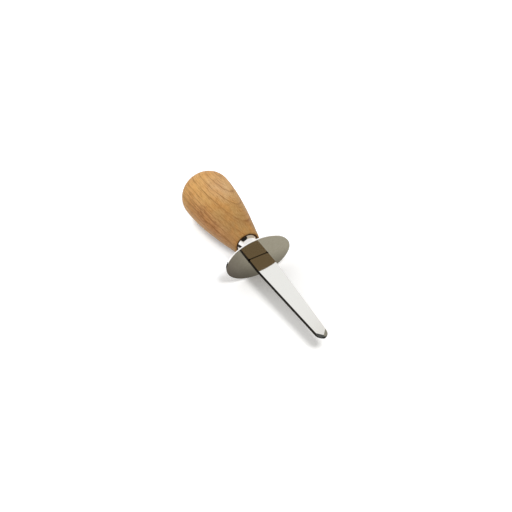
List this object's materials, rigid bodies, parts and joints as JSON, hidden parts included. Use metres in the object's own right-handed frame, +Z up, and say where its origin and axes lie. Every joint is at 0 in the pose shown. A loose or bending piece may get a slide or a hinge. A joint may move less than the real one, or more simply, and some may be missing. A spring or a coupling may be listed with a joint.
{
  "type": "oyster knife",
  "caption": "Oyster knife with a blunt round-tipped blade, an oval guard plate, a ferrule with a flared mouth and a turned pear-shaped wooden handle, lying at rest.",
  "frame": {"origin": "centre of the bounding box at table level, with the knife lying on its handle's belly and its guard's rim", "axes": "+X from butt to tip in plan, with the tip dipping by 2.1 degrees; +Y along the width of the blade and the long axis of the guard; +Z up, within 2.1 degrees of square to the blade's flats"},
  "size_m": [0.1634, 0.0445, 0.0341],
  "materials": {
    "blade_steel": "polished stainless steel, mirror-like flats and satin edges",
    "guard_steel": "polished stainless sheet with a fine grain",
    "ferrule_plating": "bright plated drawn metal",
    "handle_wood": "satin lacquered hardwood, honey brown with darker streaks",
    "cured_resin": "cured amber resin, hidden in the handle"
  },
  "bodies": {
    "root": {"blade": "blade_steel", "guard": "guard_steel", "ferrule": "ferrule_plating", "handle": "handle_wood", "tang_adhesive": "cured_resin"}
  },
  "joints": []
}
